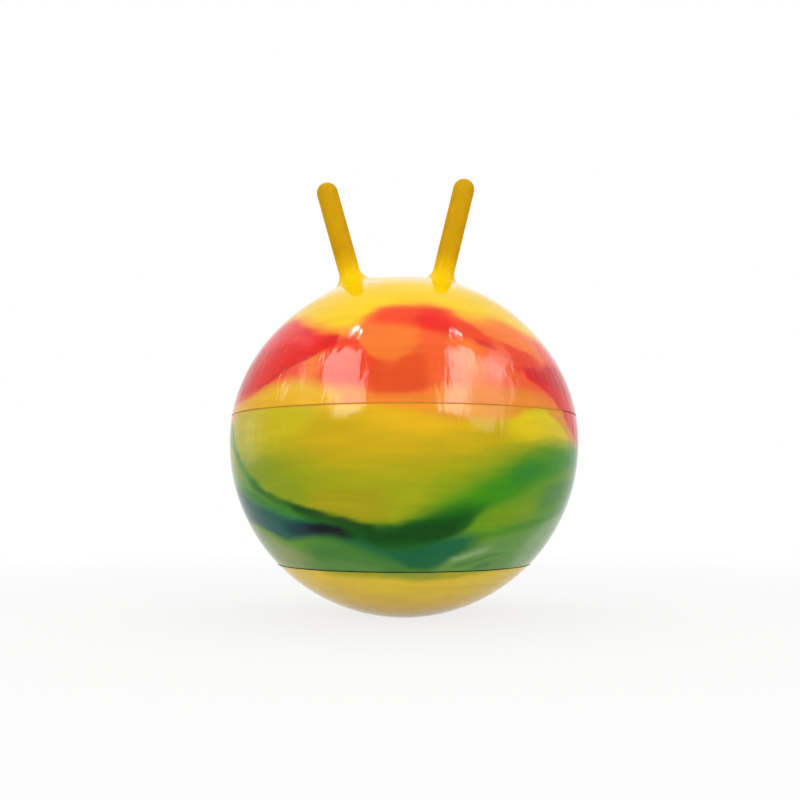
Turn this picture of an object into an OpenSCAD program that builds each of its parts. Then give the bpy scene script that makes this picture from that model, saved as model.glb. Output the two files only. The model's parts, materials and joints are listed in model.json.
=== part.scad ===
// Hopper ball: an inflated ball with two upright horns to hold on to.
// Sizes are millimetres. +Z is up, the horns stand side by side along X, and the
// air valve is at the back, on +Y. The origin is the middle of the flat patch
// that the ball's own weight presses on the floor.
// The skin is built as three panels that meet at two raised seams. Each horn
// bends at its root, where a round seat stands in for the soft one-piece wall.

/* [Ball] */
// Diameter of the ball at its equator
ball_d = 450; // [400:5:550]
// Height of the crown above the equator
crown_h = 212; // [200:1:230]
// Radius of the flat patch on the floor
foot_r = 30; // [20:1:40]
// Thickness of the soft skin
skin_t = 1.4; // [1.2:0.1:2]
// How far the crown is drawn down at the pole, between the horns
saddle_drop = 3; // [0:0.5:5]
// Radius of the part of the crown that is drawn down
saddle_r = 60; // [50:1:80]

/* [Seams] */
// Height of the upper seam above the equator
upper_seam_h = 33; // [20:1:60]
// Depth of the lower seam below the equator
lower_seam_h = 156; // [130:1:170]
// Width of a seam's bead along the skin
seam_w = 1.6; // [1.2:0.1:3]
// How far a seam's bead stands out of the skin
seam_proud = 0.4; // [0.2:0.1:0.8]
// How far a seam's flash stands into the ball
seam_flash = 0.8; // [0.4:0.1:1.5]

/* [Horns] */
// Diameter of a horn's grip
horn_d = 28; // [24:0.5:32]
// Length of a horn from the skin to its tip
horn_l = 148; // [120:1:180]
// Thickness of a horn's wall
horn_t = 3; // [2:0.5:4]
// Distance of the left horn's root from the ball's axis
left_root = 65.5; // [50:0.5:80]
// Distance of the right horn's root from the ball's axis
right_root = 47.5; // [42:0.5:80]
// Lean of the left horn, outwards from upright, in degrees
left_lean_angle = 15.6; // [8:0.1:22]
// Lean of the right horn, outwards from upright, in degrees
right_lean_angle = 13.7; // [8:0.1:22]
// How far a horn bends at its root each way, in degrees
horn_flex_angle = 20; // [10:1:20]

/* [Horn collars] */
// Height above the skin at which a horn bends
bend_h = 20; // [17:0.5:22]
// Radius of the fillet from a collar down to the skin
fillet_r = 22; // [20:0.5:25]
// Thickness of a collar at its lip
lip_t = 1; // [0.8:0.1:2]
// Gap between a horn's round foot and its collar
flex_gap = 0.3; // [0.3:0.05:0.5]

/* [Valve] */
// Diameter of the hole that the plug closes
valve_hole_d = 9; // [8:0.1:11]
// Diameter of the thick boss inside the skin
boss_d = 28; // [26:0.5:34]
// Length of the boss from the skin inwards
boss_l = 16; // [14:0.5:22]
// Diameter of the neck that comes out through the skin
neck_d = 20; // [19:0.1:22]
// Diameter of the plug's head
plug_head_d = 16; // [14:0.1:16.5]
// Thickness of the plug's head
plug_head_t = 1.8; // [1.5:0.1:2.4]
// Length of the plug's stem under its head
plug_l = 20; // [17:0.5:24]
// Depth of a groove between two ribs of the stem
rib_groove = 0.6; // [0.3:0.1:1]
// Distance from one rib of the stem to the next
rib_pitch = 3.5; // [3:0.1:4]
// Number of ribs on the stem
rib_count = 4; // [2:1:4]

/* [Hidden] */

// Fit of a piece that stays in its seat, per side
seat_fit = 0.1;
// Running clearance of the plug in its hole, per side
plug_fit = 0.06;
// Gap round the plug's head
head_gap = 0.3;
// How much of the head stands proud of its recess
head_proud = 0.5;
// Rounding of the head's upper rim
head_round = 0.5;
// Bevel under the head's rim, where a puller gets hold
head_bevel = 0.7;
// Taper of the stem's end
stem_taper = 1.2;
// How far a collar's lip stays below the bend, so that a bent horn clears it
lip_drop = 0.4;
// Spare length of every cutting shape
overrun = 1;
// Depth of a horn's open foot below its bend
horn_foot = 6;
// Degrees of a skin panel in one straight step of its outline
panel_angle = 2.5;
// Steps in a quarter turn of a small round outline
arc_steps = 12;
// Degrees of arc in a collar's fillet, short of a quarter so that its rim keeps an edge
fillet_angle = 80;
$fn = 96;

ball_r = ball_d / 2;
equator_z = sqrt(pow(ball_r, 2) - pow(foot_r, 2));
horn_r = horn_d / 2;
bore_r = horn_r - horn_t;
// The foot's sphere is just wide enough for a fully bent grip to stay a degree clear of the lip
foot_ball_r = horn_r / cos(horn_flex_angle + 1);
socket_r = foot_ball_r + flex_gap;
lip_r = socket_r + lip_t;
lip_z = bend_h - lip_drop;
// A collar's inner fillet has the outer one's centre, a wall further out
inner_fillet_r = fillet_r + horn_t;
// The skin is open under a collar, as wide as the inner fillet is at the skin
root_hole_r = lip_r + fillet_r - sqrt(pow(inner_fillet_r, 2) - pow(lip_z, 2));
valve_hole_r = valve_hole_d / 2;
boss_r = boss_d / 2;
neck_r = neck_d / 2;
plug_head_r = plug_head_d / 2;
stem_r = valve_hole_r - plug_fit;

// Angles up the skin from the equator
upper_angle = asin(upper_seam_h / crown_h);
lower_angle = -asin(lower_seam_h / ball_r);
foot_angle = -asin(equator_z / ball_r);
pole_angle = 90;
half_seam_angle = atan(seam_w / 2 / ball_r);

// How far the pole's dip lowers the crown at radius r
function dip(r) = r < saddle_r ? saddle_drop * pow(1 - pow(r / saddle_r, 2), 2) : 0;

// A point of the skin's section at angle t up from the equator, a depth under the outer face:
// a circle below the equator, and a flatter ellipse with its dipped pole above
function skin_point(t, depth) = [
    (ball_r - depth) * cos(t),
    equator_z + (t > 0 ? (crown_h - depth) * sin(t) - dip(ball_r * cos(t)) : (ball_r - depth) * sin(t))
];

function skin_line(from_angle, to_angle, depth) =
    let (steps = max(1, ceil(abs(to_angle - from_angle) / panel_angle)))
    [for (i = [0:steps]) skin_point(from_angle + (to_angle - from_angle) * i / steps, depth)];

// Points on an arc in a section, with the angle counted from straight outwards
function arc(centre, r, from_angle, to_angle) =
    [
        for (i = [0:arc_steps])
        let (a = from_angle + (to_angle - from_angle) * i / arc_steps)
        centre + r * [cos(a), sin(a)]
    ];

function crown_z(r) = skin_point(acos(r / ball_r), 0)[1];

// One panel of the skin, between two angles up from the equator
module skin_panel(low_angle, high_angle) {
    outside = skin_line(low_angle, high_angle, 0);
    inside = skin_line(high_angle, low_angle, skin_t);
    rotate_extrude() polygon(concat(outside, inside));
}

// All that lies inside the outer face of the top panel
module crown_core() {
    outside = skin_line(upper_angle + half_seam_angle, pole_angle, 0);
    rotate_extrude() polygon(concat(outside, [[0, outside[0][1]]]));
}

// A seam: a round bead outside, a flash inside, and the weld between them
module seam_ring(t) {
    bead = [
        for (i = [0:arc_steps])
        skin_point(t + half_seam_angle * (2 * i / arc_steps - 1), -seam_proud * sin(180 * i / arc_steps))
    ];
    flash_depth = skin_t + seam_flash;
    inside = [skin_point(t + half_seam_angle, flash_depth), skin_point(t - half_seam_angle, flash_depth)];
    rotate_extrude() polygon(concat(bead, inside));
}

// Puts a child on a horn's axis, with its origin where the axis leaves the skin
module at_root(x, lean) {
    translate([x, 0, crown_z(abs(x))]) rotate([0, lean, 0]) children();
}

// The left horn's place
module at_left() {
    at_root(-left_root, -left_lean_angle) children();
}

// The right horn's place
module at_right() {
    at_root(right_root, right_lean_angle) children();
}

// Puts a child on the valve's axis at the back, with its origin on the skin and +Z outwards
module at_valve() {
    translate([0, ball_r, equator_z]) rotate([-90, 0, 0]) children();
}

// A horn, with the round foot that its collar holds, and its hollow open to the ball
module horn() {
    tip_z = horn_l - bend_h - horn_r;
    foot_edge_angle = asin(horn_foot / foot_ball_r);
    grip_edge_angle = acos(horn_r / foot_ball_r);
    outside = concat(
        arc([0, 0], foot_ball_r, -foot_edge_angle, grip_edge_angle),
        arc([0, tip_z], horn_r, 0, 90)
    );
    inside = concat(arc([0, tip_z], bore_r, 90, 0), [[bore_r, -horn_foot]]);
    translate([0, 0, bend_h]) rotate_extrude() polygon(concat(outside, inside));
}

// A collar before the skin trims it: a trumpet of even wall, with the round seat for a horn's foot
module trumpet() {
    centre = [lip_r + fillet_r, lip_z];
    outside = arc(centre, fillet_r, 180, 180 + fillet_angle);
    inside = arc(centre, inner_fillet_r, 180 + fillet_angle, 180);
    rim = [[outside[arc_steps][0], -inner_fillet_r], [inside[0][0], -inner_fillet_r]];
    difference() {
        rotate_extrude() polygon(concat(outside, rim, inside));
        translate([0, 0, bend_h]) sphere(r = socket_r);
    }
}

// The opening in the skin under a collar
module root_hole() {
    translate([0, 0, -inner_fillet_r]) cylinder(r = root_hole_r, h = inner_fillet_r + lip_z);
}

module top_cap() {
    color("gold") difference() {
        skin_panel(upper_angle + half_seam_angle, pole_angle);
        at_left() root_hole();
        at_right() root_hole();
    }
}

module middle_band() {
    color("yellowgreen") difference() {
        skin_panel(lower_angle + half_seam_angle, upper_angle - half_seam_angle);
        at_valve() translate([0, 0, -skin_t - overrun])
            cylinder(r = neck_r + seat_fit, h = skin_t + 2 * overrun);
    }
}

module bottom_cap() {
    inner_foot_angle = -asin((equator_z - skin_t) / (ball_r - skin_t));
    top_angle = lower_angle - half_seam_angle;
    outside = concat([[0, 0]], skin_line(foot_angle, top_angle, 0));
    inside = concat(skin_line(top_angle, inner_foot_angle, skin_t), [[0, skin_t]]);
    color("khaki") rotate_extrude() polygon(concat(outside, inside));
}

module upper_seam() {
    color("darkgoldenrod") seam_ring(upper_angle);
}

module lower_seam() {
    color("darkgreen") seam_ring(lower_angle);
}

module left_horn() {
    color("goldenrod") at_left() horn();
}

module right_horn() {
    color("goldenrod") at_right() horn();
}

module left_collar() {
    color("gold") difference() {
        at_left() trumpet();
        crown_core();
    }
}

module right_collar() {
    color("gold") difference() {
        at_right() trumpet();
        crown_core();
    }
}

// Depth of the neck's face under the valve's origin, where its rim is level with the skin
neck_sink = ball_r - sqrt(pow(ball_r, 2) - pow(neck_r, 2));
// Depth of the boss's flat face, which touches the skin's inside along its rim
boss_sink = ball_r - sqrt(pow(ball_r - skin_t, 2) - pow(boss_r, 2)) + seat_fit;
// Depth of the recess that the plug's head sits in
recess = plug_head_t - head_proud;

module valve_seat() {
    color("gold") at_valve() difference() {
        union() {
            translate([0, 0, -boss_l]) cylinder(r = boss_r, h = boss_l - boss_sink);
            translate([0, 0, -boss_l]) cylinder(r = neck_r, h = boss_l - neck_sink);
        }
        translate([0, 0, -boss_l - overrun]) cylinder(r = valve_hole_r, h = boss_l + 2 * overrun);
        translate([0, 0, -neck_sink - recess]) cylinder(r = plug_head_r + head_gap, h = recess + overrun);
    }
}

module valve_plug() {
    groove_w = rib_pitch / 2;
    rib_z = [for (i = [0:rib_count - 1]) -rib_pitch * (i + 1)];
    ribs = [
        for (z = rib_z)
        each [
            [stem_r, z + groove_w],
            [stem_r - rib_groove, z + groove_w],
            [stem_r - rib_groove, z],
            [stem_r, z]
        ]
    ];
    tip = [[stem_r, stem_taper - plug_l], [stem_r - stem_taper, -plug_l], [0, -plug_l]];
    head = [
        [0, plug_head_t],
        [plug_head_r - head_round, plug_head_t],
        [plug_head_r, plug_head_t - head_round],
        [plug_head_r, head_bevel],
        [plug_head_r - head_bevel, 0],
        [stem_r, 0]
    ];
    color("ivory") at_valve() translate([0, 0, -neck_sink - recess])
        rotate_extrude() polygon(concat(head, ribs, tip));
}

top_cap();
middle_band();
bottom_cap();
upper_seam();
lower_seam();
left_horn();
right_horn();
left_collar();
right_collar();
valve_seat();
valve_plug();
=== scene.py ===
# %% [markdown]
# A hopper ball is a soft vinyl ball that a child sits on and bounces, holding its two horns.
# The real one is rotationally moulded: coloured PVC paste is turned inside a heated hollow mould,
# so ball and horns come out as one glossy skin with marbled colours and two thin parting lines.
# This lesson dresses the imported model. The CAD gives every size, and Blender gives the smooth
# skin, the soft roots of the horns, the marbling and the gloss.

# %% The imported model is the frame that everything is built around
import json
import math

import bmesh
import bpy
from mathutils import Matrix, Vector


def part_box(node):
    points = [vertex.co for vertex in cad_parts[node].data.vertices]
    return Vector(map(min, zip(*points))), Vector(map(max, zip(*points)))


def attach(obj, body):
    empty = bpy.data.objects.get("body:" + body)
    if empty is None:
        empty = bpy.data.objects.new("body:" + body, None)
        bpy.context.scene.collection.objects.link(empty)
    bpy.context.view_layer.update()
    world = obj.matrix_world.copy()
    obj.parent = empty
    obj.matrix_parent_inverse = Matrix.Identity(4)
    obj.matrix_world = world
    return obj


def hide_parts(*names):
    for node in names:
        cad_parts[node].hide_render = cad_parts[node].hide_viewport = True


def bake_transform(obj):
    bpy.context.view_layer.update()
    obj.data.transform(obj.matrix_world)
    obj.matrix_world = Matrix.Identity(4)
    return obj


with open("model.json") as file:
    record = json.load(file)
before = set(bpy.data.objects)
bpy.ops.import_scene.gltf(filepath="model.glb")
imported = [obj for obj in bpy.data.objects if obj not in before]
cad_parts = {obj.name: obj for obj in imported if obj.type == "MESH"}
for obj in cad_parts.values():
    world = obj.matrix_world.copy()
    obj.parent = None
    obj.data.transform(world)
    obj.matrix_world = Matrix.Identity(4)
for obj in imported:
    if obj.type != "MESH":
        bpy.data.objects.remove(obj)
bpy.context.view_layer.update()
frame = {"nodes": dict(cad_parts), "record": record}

MM = 0.001
print("CAD nodes:", ", ".join(sorted(frame["nodes"])))

# %% [markdown]
# The sizes come from the frame: the widest node is the ball, and the two seam nodes say where the
# parting lines run. Only the shapes of the crown and the foot are written here as real sizes, because
# a box can't give a curve. The ball stands on a small flat foot, so its equator is a little lower
# than one radius, and the crown above it is slightly flattened by the pull of the horns.

# %% Sizes of the ball
band_low, band_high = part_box("middle_band")
BALL_RADIUS = round((band_high.x - band_low.x) / 2, 3)
FOOT_RADIUS = 30 * MM
SADDLE_DROP = 3 * MM
SADDLE_RADIUS = 60 * MM
SHOULDER_RADIUS, SHOULDER_REACH = 115 * MM, 75 * MM
SHOULDER_HALF, SHOULDER_LIFT = 2.5 * MM, 2.2 * MM
SKIN = 1.4 * MM
EQUATOR = math.sqrt(BALL_RADIUS**2 - FOOT_RADIUS**2)
CROWN_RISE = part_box("top_cap")[1].z + SADDLE_DROP - EQUATOR
UPPER_SEAM = sum(corner.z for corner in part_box("upper_seam")) / 2
LOWER_SEAM = sum(corner.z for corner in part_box("lower_seam")) / 2
print(f"ball {2 * BALL_RADIUS / MM:.0f} mm wide, its equator {EQUATOR / MM:.1f} mm above the floor")
print(f"crown rises {CROWN_RISE / MM:.1f} mm above the equator")
for name, height in (("upper", UPPER_SEAM), ("lower", LOWER_SEAM)):
    print(f"{name} parting line {(height - EQUATOR) / MM:.1f} mm from the equator")

# %% [markdown]
# The camera stands where the photograph was taken from: 1.3 m from the ball's centre and a little
# below it, so that it looks up by about three degrees. The lens is a short portrait lens. The ball
# doesn't sit in the middle of the photograph, so the lens is shifted by that much and no more.

# %% The camera
CAMERA_DISTANCE = 1.300
CAMERA_TILT = math.radians(-2.9)
LENS = 44.68
PICTURE_SIDE = 800
BALL_IN_PICTURE = (404.0, 443.2)
ball_centre = Vector((0, 0, EQUATOR))
camera_back = Vector((0, -math.cos(CAMERA_TILT), math.sin(CAMERA_TILT)))
camera_data = bpy.data.cameras.new("camera")
camera_data.lens = LENS
camera_data.shift_x = (PICTURE_SIDE / 2 - BALL_IN_PICTURE[0]) / PICTURE_SIDE
camera_data.shift_y = (BALL_IN_PICTURE[1] - PICTURE_SIDE / 2) / PICTURE_SIDE
camera = bpy.data.objects.new("camera", camera_data)
camera.location = ball_centre + CAMERA_DISTANCE * camera_back
camera.rotation_euler = (-camera_back).to_track_quat("-Z", "Y").to_euler()
bpy.context.scene.collection.objects.link(camera)
bpy.context.scene.camera = camera
print("camera at", [round(part, 3) for part in camera.location])

# %% [markdown]
# Materials are written with three helpers. One turns an sRGB hex colour, as a painter reads it off a
# screen, into the linear values that the renderer adds up. One adds a node with its settings and its
# links, which keeps a long node tree short to write. One starts a material with an empty node tree.
# A Mix node of colours has sockets of the same name for each kind of value, so its two colours are
# named here by their places in the list of sockets.

# %% Helpers for materials
UNDER, OVER = 6, 7


def linear(hex_colour):
    """An sRGB hex colour as linear red, green, blue and alpha."""
    shares = [int(hex_colour[at:at + 2], 16) / 255 for at in (1, 3, 5)]
    return [s / 12.92 if s <= 0.04045 else ((s + 0.055) / 1.055) ** 2.4 for s in shares] + [1.0]


def add(tree, kind, *inputs, **settings):
    """Adds a node. Each input is a value, a socket or a node, in the order of the sockets. A dictionary
    at the end names its sockets, or gives their places. A node feeds its first live output."""
    made = tree.nodes.new("ShaderNode" + kind)
    for name, value in settings.items():
        setattr(made, name, value)
    by_name = inputs[-1] if inputs and isinstance(inputs[-1], dict) else {}
    in_order = enumerate(inputs[:-1] if by_name else inputs)
    for key, value in [*in_order, *by_name.items()]:
        if isinstance(value, bpy.types.Node):
            value = next(socket for socket in value.outputs if socket.enabled)
        if isinstance(value, bpy.types.NodeSocket):
            tree.links.new(value, made.inputs[key])
        else:
            made.inputs[key].default_value = value
    return made


def new_material(name):
    """A material with nothing in its node tree, and the tree."""
    made = bpy.data.materials.new(name)
    made.use_nodes = True
    made.node_tree.nodes.clear()
    return made, made.node_tree


print("mustard in linear light:", [round(part, 3) for part in linear("#d0ad00")])

# %% [markdown]
# The studio is plain: a pale floor, a white room and soft lamps. The camera, the gloss and anything
# clear see the room as pure white through the Light Path node, while the light that reaches the
# object is kept at a plain level. The floor is part glow for those rays and part real diffuse paper,
# all glow far away, so it is white and still shows the ball's soft shadow.

# %% The white room
ROOM_LIGHT = 0.30


def seen_directly(tree):
    """1 for the rays that should see plain white: camera, glossy and transmission rays."""
    path = add(tree, "LightPath").outputs
    shiny = add(tree, "Math", path["Is Glossy Ray"], path["Is Transmission Ray"], operation="MAXIMUM")
    return add(tree, "Math", path["Is Camera Ray"], shiny, operation="MAXIMUM")


room = bpy.data.worlds.new("white room")
room.use_nodes = True
walls = room.node_tree
walls.nodes.clear()
dim = add(walls, "Background", {"Color": linear("#ffffff"), "Strength": ROOM_LIGHT})
white = add(walls, "Background", {"Color": linear("#ffffff"), "Strength": 1.0})
seen = add(walls, "MixShader", seen_directly(walls), dim, white)
add(walls, "OutputWorld", {"Surface": seen})
bpy.context.scene.world = room
bpy.context.scene.view_settings.view_transform = "Standard"
print("room light", ROOM_LIGHT)

# %% The floor
FLOOR_SIDE = 16.0
PAPER = "#f0f0ee"
GLOW_NEAR, GLOW_FAR = 0.80, 1.0
GLOW_FROM, GLOW_TO = 0.3, 1.5

bpy.ops.object.select_all(action="DESELECT")
bpy.ops.mesh.primitive_plane_add(size=FLOOR_SIDE, location=(0, 0, 0))
floor = bpy.context.object
floor.name = "studio_floor"
paper, sheet = new_material("matt pale paper floor")
matt = add(sheet, "BsdfDiffuse", {"Color": linear(PAPER)})
glow = add(sheet, "Emission", {"Color": linear("#ffffff"), "Strength": 1.0})
place = add(sheet, "TexCoord").outputs["Object"]
away = add(sheet, "VectorMath", place, operation="LENGTH").outputs["Value"]
share = add(sheet, "MapRange", away, GLOW_FROM, GLOW_TO, GLOW_NEAR, GLOW_FAR,
            interpolation_type="SMOOTHSTEP")
share = add(sheet, "Math", share, seen_directly(sheet), operation="MULTIPLY")
add(sheet, "OutputMaterial", {"Surface": add(sheet, "MixShader", share, matt, glow)})
floor.data.materials.append(paper)
print("floor", FLOOR_SIDE, "m wide")

# %% [markdown]
# The photograph shows its studio in the ball's gloss: a tall soft panel on each side of the camera,
# reaching from the front up over the ball, with narrow strips and a rounded panel beside them, and a
# small sharp light near the top of each. Cycles can show a lamp to the gloss alone or to the diffuse
# light alone, so the level of light and the look of the reflections are set apart. A lamp is placed
# by two angles from the ball's centre: how far to the side, and how far round from the front over
# the top. A panel's glow fades towards its edges, as a softbox does, by the lamp's own coordinates.
# A flag keeps it off the far side of the ball, by the length of the ray, or it would glare there.

# %% The lamps
LAMP_DISTANCE = 1.8
FLAG_FROM, FLAG_TO = 1.74, 1.80


def lamp(name, side, rise, lean, width, length, brightness):
    """An area light. Its width and length are degrees as seen from the ball, its lean takes the far end
    to the right, and its brightness is the radiance of its face."""
    data = bpy.data.lights.new(name, "AREA")
    data.shape = "RECTANGLE"
    data.size = 2 * LAMP_DISTANCE * math.tan(math.radians(width) / 2)
    data.size_y = 2 * LAMP_DISTANCE * math.tan(math.radians(length) / 2)
    data.energy = brightness * math.pi * data.size * data.size_y
    made = bpy.data.objects.new(name, data)
    bpy.context.scene.collection.objects.link(made)
    side, rise = math.radians(side), math.radians(rise)
    level = math.cos(side)
    towards = Vector((math.sin(side), -level * math.cos(rise), level * math.sin(rise)))
    along = Vector((0, math.sin(rise), math.cos(rise)))
    across = along.cross(towards)
    turn = Matrix.Rotation(math.radians(-lean), 3, towards)
    across, along = turn @ across, turn @ along
    made.matrix_world = Matrix((across, along, towards)).transposed().to_4x4()
    made.location = ball_centre + LAMP_DISTANCE * towards
    return made


def fade(tree, share, value, out, full):
    """The share, faded out where the value is at out and whole where it is at full."""
    step = add(tree, "MapRange", value, out, full, interpolation_type="SMOOTHSTEP")
    return add(tree, "Math", share, step, operation="MULTIPLY")


def gloss_panel(name, side, rise, lean, width, length, brightness, fades):
    """A lamp that only the gloss sees. fades are its soft shares at the left, right, near and far edges."""
    made = lamp(name, side, rise, lean, width, length, brightness)
    made.visible_diffuse = False
    made.data.use_nodes = True
    tree = made.data.node_tree
    tree.nodes.clear()
    face = add(tree, "SeparateXYZ", add(tree, "NewGeometry").outputs["Parametric"]).outputs
    share = fade(tree, 1.0, add(tree, "LightPath").outputs["Ray Length"], FLAG_TO, FLAG_FROM)
    for axis, (start, end) in (("X", fades[:2]), ("Y", fades[2:])):
        share = fade(tree, share, face[axis], 0.0, start)
        share = fade(tree, share, face[axis], 1.0, 1.0 - end)
    glowing = add(tree, "Emission", {"Color": linear("#ffffff"), "Strength": share})
    add(tree, "OutputLight", {"Surface": glowing})
    return made


for name, side, rise, width, length, brightness in (
        ("front left lamp", -40, 30, 44, 50, 0.85),
        ("front right lamp", 40, 30, 44, 50, 0.85),
        ("low front lamp", 0, 6, 60, 26, 1.0),
        ("overhead lamp", 0, 95, 70, 60, 1.6)):
    lamp(name, side, rise, 0, width, length, brightness).visible_glossy = False
for name, side, rise, lean, width, length, brightness, fades in (
        ("left panel", -34.5, 46, 0, 27, 78, 14.5, (0.30, 0.06, 0.19, 0.25)),
        ("left shoulder", -55, 58, 0, 24, 56, 2.4, (0.50, 0.40, 0.40, 0.40)),
        ("left streak, inner", -53, 71, 29, 3, 24, 6.0, (0.50, 0.50, 0.40, 0.40)),
        ("left streak, outer", -63, 84, 49, 5, 26, 8.0, (0.50, 0.50, 0.40, 0.40)),
        ("right panel", 31, 45, 0, 24, 78, 18.5, (0.36, 0.50, 0.20, 0.22)),
        ("right shoulder", 48, 43, 0, 34, 92, 5.0, (0.30, 0.25, 0.30, 0.36)),
        ("right oval", 45, 71, 0, 19, 40, 8.5, (0.55, 0.25, 0.50, 0.50)),
        ("left sharp light", -21.7, 82.5, 17, 2.6, 12, 110, (0.50, 0.50, 0.40, 0.40)),
        ("right sharp light", 23.3, 81.5, -22, 4.0, 12, 46, (0.50, 0.50, 0.50, 0.50)),
        ("left window", -72, -170, 0, 30, 50, 0.8, (0.40, 0.40, 0.40, 0.40))):
    gloss_panel(name, side, rise, lean, width, length, brightness, fades)

# %% [markdown]
# The marbling is painted by height and azimuth, as the paste runs round in the turning mould. Each
# swirl is a streak of one colour between a lower and an upper edge, and each edge is a Float Curve
# with a few listed points, the height in millimetres from the equator over the degrees from
# the front, where positive degrees turn to the right. Each edge has its own feather: paste that ran
# downwards leaves one crisp side and one soft side. A swirl that doesn't go all round fades in and
# out at its tips. Some swirls fill all below one edge or all above it, as a ground for the others.
# Noise first bends the place where a swirl is looked up, so no edge is a clean curve.

# %% A swirl of coloured paste
TOP, BOTTOM = 224, -224


def swirl(colour, points, feather=(10, 10), strength=1.0, tips=(8, 8)):
    """points are (azimuth in degrees, lower edge in mm, upper edge in mm). feather is the softness of
    the two edges in mm, and tips are the fades at the two ends in degrees."""
    return {"colour": colour, "points": points, "feather": feather, "strength": strength, "tips": tips}


def below(*edge):
    """The points of a swirl that fills all below one edge, given as (azimuth, height)."""
    return [(degrees, BOTTOM, height) for degrees, height in edge]


def above(*edge):
    """The points of a swirl that fills all above one edge, given as (azimuth, height)."""
    return [(degrees, height, TOP) for degrees, height in edge]


def edge_height(tree, azimuths, points):
    """A Float Curve that gives an edge's height, as a share of the ball, by azimuth."""
    past_back = max(degrees for degrees, _ in points) > 180
    start = 0 if past_back else -180
    curve = add(tree, "FloatCurve", {"Value": azimuths[past_back]})
    curve.mapping.extend = "HORIZONTAL"
    track = curve.mapping.curves[0].points
    for place, (degrees, height) in enumerate(points):
        spot = ((degrees - start) / 360, height * MM / (2 * BALL_RADIUS) + 0.5)
        if place < len(track):
            track[place].location = spot
        else:
            track.new(*spot)
    for point in track:
        point.handle_type = "AUTO_CLAMPED"
    curve.mapping.update()
    return curve


def lay(tree, ground, azimuths, height, one):
    """Lays one swirl over the ground colour and returns the new colour."""
    points = one["points"]
    share = one["strength"]
    half = [feather * MM / (4 * BALL_RADIUS) for feather in one["feather"]]
    if any(low > BOTTOM for _, low, _ in points):
        edge = edge_height(tree, azimuths, [(degrees, low) for degrees, low, _ in points])
        past_edge = add(tree, "Math", height, edge, operation="SUBTRACT")
        share = fade(tree, share, past_edge, -half[0], half[0])
    if any(high < TOP for _, _, high in points):
        edge = edge_height(tree, azimuths, [(degrees, high) for degrees, _, high in points])
        past_edge = add(tree, "Math", height, edge, operation="SUBTRACT")
        share = fade(tree, share, past_edge, half[1], -half[1])
    first, last = points[0][0], points[-1][0]
    if last - first < 360:
        past_back = last > 180
        start = 0 if past_back else -180
        first, last = (first - start) / 360, (last - start) / 360
        share = fade(tree, share, azimuths[past_back], first, first + one["tips"][0] / 360)
        share = fade(tree, share, azimuths[past_back], last, last - one["tips"][1] / 360)
    return add(tree, "Mix", share, {UNDER: ground, OVER: linear(one["colour"])}, data_type="RGBA")


print("a swirl is laid with Float Curves for its edges, each a few points long")

# %% [markdown]
# Soft PVC from a polished mould is glossy. Its refractive index is near 1.5, matched here to the deep
# colours of the photograph with a lower one, because a white room in the gloss would veil them. The
# wall is thin and was pulled warm from the mould, so it is never perfectly smooth: slow upright
# ripples, some 14 mm apart and up to half a millimetre deep, break the lamps' reflections into
# streaks round the ball's middle. They are bump, and almost die out towards the crown and the foot.
# Wisps are the fine level combing of the paste, and a base of one plain colour shows it as level
# lines instead. The same material serves every panel with its own swirls. Most values of a noise lie
# in a narrow middle range, and it is that range which is stretched to the tones of a colour.

# %% The marbled vinyl
DRIFT_SIZE, DRIFT = 80 * MM, 5 * MM
WISP_SIZE, WISP = (60 * MM, 9 * MM), 5 * MM
RIPPLE_SIZE, RIPPLE_DEPTH = (14 * MM, 70 * MM), 0.9 * MM
RIPPLE_MIDDLE, RIPPLE_NEAR, RIPPLE_FAR, RIPPLE_LEFT = 50 * MM, 50 * MM, 100 * MM, 0.15
LEVEL_LINE_SIZE = (120 * MM, 3 * MM)
MOST_NOISE = (0.3, 0.7)
SKIN_TONES = (0.93, 1.05)
GLOSS = (0.05, 0.12)
VINYL_IOR = 1.25


def scaled_noise(tree, place, across, upright, detail):
    """A noise with different sizes round the ball and up it, in metres."""
    sizes = (1 / across, 1 / across, 1 / upright)
    combed = add(tree, "VectorMath", place, sizes, operation="MULTIPLY")
    return add(tree, "TexNoise", combed, {"Scale": 1.0, "Detail": detail})


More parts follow.
